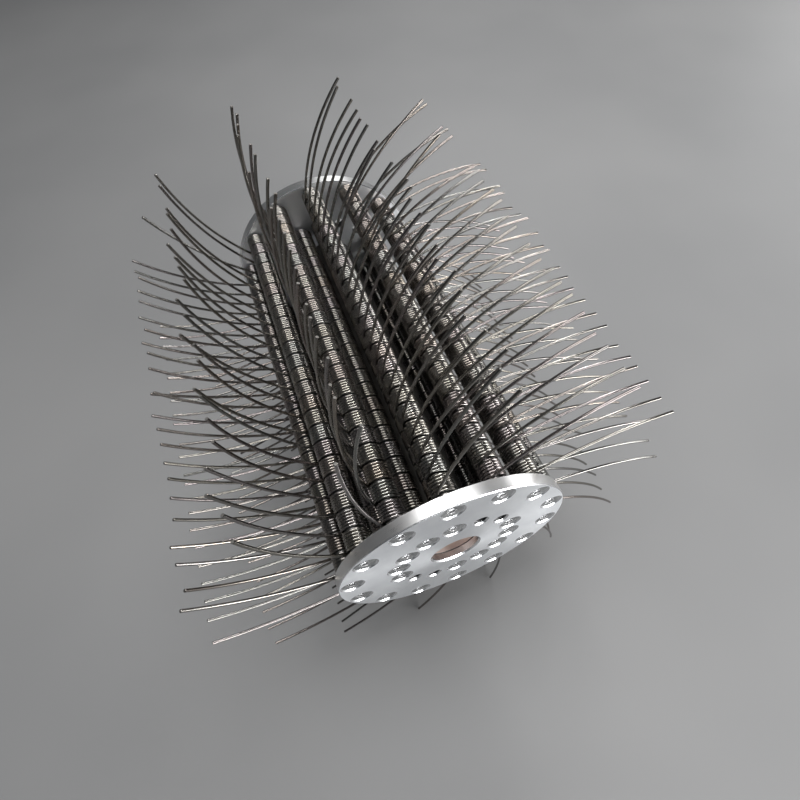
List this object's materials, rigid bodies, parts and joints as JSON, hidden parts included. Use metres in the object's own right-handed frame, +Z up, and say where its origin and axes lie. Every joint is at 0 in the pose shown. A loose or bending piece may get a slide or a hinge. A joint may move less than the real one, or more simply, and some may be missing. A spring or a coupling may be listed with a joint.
{
  "type": "spring tine drum brush",
  "caption": "Rotary wire drum brush: curved spring wire tines in rows on rods between two round screwed end plates around a hollow hub.",
  "frame": {"origin": "centre of the drum, on its axis, half way between the two end plates", "axes": "+Y runs along the drum's axis from the front plate to the rear plate, +Z is up as the drum lies on its tines, +X is right seen from the front"},
  "size_m": [0.3058, 0.292, 0.2984],
  "materials": {
    "plate_aluminium": "turned satin",
    "rod_steel": "bright zinc plated",
    "hub_steel": "drawn tube, bored inside",
    "tine_steel": "oil tempered spring wire, glossy",
    "coil_steel": "spring wire, bright"
  },
  "bodies": {
    "drum": {"front_plate": "plate_aluminium", "rear_plate": "plate_aluminium", "hub_tube": "hub_steel", "outer_rod_01": "rod_steel", "outer_rod_02": "rod_steel", "outer_rod_03": "rod_steel", "outer_rod_04": "rod_steel", "outer_rod_05": "rod_steel", "outer_rod_06": "rod_steel", "outer_rod_07": "rod_steel", "outer_rod_08": "rod_steel", "outer_rod_09": "rod_steel", "outer_rod_10": "rod_steel", "outer_rod_11": "rod_steel", "outer_rod_12": "rod_steel", "outer_rod_13": "rod_steel", "outer_rod_14": "rod_steel", "inner_rod_01": "rod_steel", "inner_coils_01": "coil_steel", "inner_rod_02": "rod_steel", "inner_coils_02": "coil_steel", "inner_rod_03": "rod_steel", "inner_coils_03": "coil_steel", "inner_rod_04": "rod_steel", "inner_coils_04": "coil_steel", "inner_rod_05": "rod_steel", "inner_coils_05": "coil_steel", "inner_rod_06": "rod_steel", "inner_coils_06": "coil_steel", "inner_rod_07": "rod_steel", "inner_coils_07": "coil_steel", "inner_rod_08": "rod_steel", "inner_coils_08": "coil_steel", "inner_rod_09": "rod_steel", "inner_coils_09": "coil_steel", "inner_rod_10": "rod_steel", "inner_coils_10": "coil_steel"},
    "tines_01": {"tine_row_01": "tine_steel"},
    "tines_02": {"tine_row_02": "tine_steel"},
    "tines_03": {"tine_row_03": "tine_steel"},
    "tines_04": {"tine_row_04": "tine_steel"},
    "tines_05": {"tine_row_05": "tine_steel"},
    "tines_06": {"tine_row_06": "tine_steel"},
    "tines_07": {"tine_row_07": "tine_steel"},
    "tines_08": {"tine_row_08": "tine_steel"},
    "tines_09": {"tine_row_09": "tine_steel"},
    "tines_10": {"tine_row_10": "tine_steel"},
    "tines_11": {"tine_row_11": "tine_steel"},
    "tines_12": {"tine_row_12": "tine_steel"},
    "tines_13": {"tine_row_13": "tine_steel"},
    "tines_14": {"tine_row_14": "tine_steel"}
  },
  "joints": [
    {"name": "tines_01_flex", "type": "hinge", "parent": "drum", "child": "tines_01", "pos_m": [-0.00106, 0, 0.06649], "axis": [0, 1, 0], "range_deg": [-10, 25], "stiffness_Nm_per_rad": 14},
    {"name": "tines_02_flex", "type": "hinge", "parent": "drum", "child": "tines_02", "pos_m": [0.0279, 0, 0.06037], "axis": [0, 1, 0], "range_deg": [-10, 25], "stiffness_Nm_per_rad": 14},
    {"name": "tines_03_flex", "type": "hinge", "parent": "drum", "child": "tines_03", "pos_m": [0.05133, 0, 0.04228], "axis": [0, 1, 0], "range_deg": [-10, 25], "stiffness_Nm_per_rad": 14},
    {"name": "tines_04_flex", "type": "hinge", "parent": "drum", "child": "tines_04", "pos_m": [0.06459, 0, 0.01583], "axis": [0, 1, 0], "range_deg": [-10, 25], "stiffness_Nm_per_rad": 14},
    {"name": "tines_05_flex", "type": "hinge", "parent": "drum", "child": "tines_05", "pos_m": [0.06506, 0, -0.01376], "axis": [0, 1, 0], "range_deg": [-10, 25], "stiffness_Nm_per_rad": 14},
    {"name": "tines_06_flex", "type": "hinge", "parent": "drum", "child": "tines_06", "pos_m": [0.05264, 0, -0.04063], "axis": [0, 1, 0], "range_deg": [-10, 25], "stiffness_Nm_per_rad": 14},
    {"name": "tines_07_flex", "type": "hinge", "parent": "drum", "child": "tines_07", "pos_m": [0.0298, 0, -0.05945], "axis": [0, 1, 0], "range_deg": [-10, 25], "stiffness_Nm_per_rad": 14},
    {"name": "tines_08_flex", "type": "hinge", "parent": "drum", "child": "tines_08", "pos_m": [0.00106, 0, -0.06649], "axis": [0, 1, 0], "range_deg": [-10, 25], "stiffness_Nm_per_rad": 14},
    {"name": "tines_09_flex", "type": "hinge", "parent": "drum", "child": "tines_09", "pos_m": [-0.0279, 0, -0.06037], "axis": [0, 1, 0], "range_deg": [-10, 25], "stiffness_Nm_per_rad": 14},
    {"name": "tines_10_flex", "type": "hinge", "parent": "drum", "child": "tines_10", "pos_m": [-0.05133, 0, -0.04228], "axis": [0, 1, 0], "range_deg": [-10, 25], "stiffness_Nm_per_rad": 14},
    {"name": "tines_11_flex", "type": "hinge", "parent": "drum", "child": "tines_11", "pos_m": [-0.06459, 0, -0.01583], "axis": [0, 1, 0], "range_deg": [-10, 25], "stiffness_Nm_per_rad": 14},
    {"name": "tines_12_flex", "type": "hinge", "parent": "drum", "child": "tines_12", "pos_m": [-0.06506, 0, 0.01376], "axis": [0, 1, 0], "range_deg": [-10, 25], "stiffness_Nm_per_rad": 14},
    {"name": "tines_13_flex", "type": "hinge", "parent": "drum", "child": "tines_13", "pos_m": [-0.05264, 0, 0.04063], "axis": [0, 1, 0], "range_deg": [-10, 25], "stiffness_Nm_per_rad": 14},
    {"name": "tines_14_flex", "type": "hinge", "parent": "drum", "child": "tines_14", "pos_m": [-0.0298, 0, 0.05945], "axis": [0, 1, 0], "range_deg": [-10, 25], "stiffness_Nm_per_rad": 14}
  ]
}
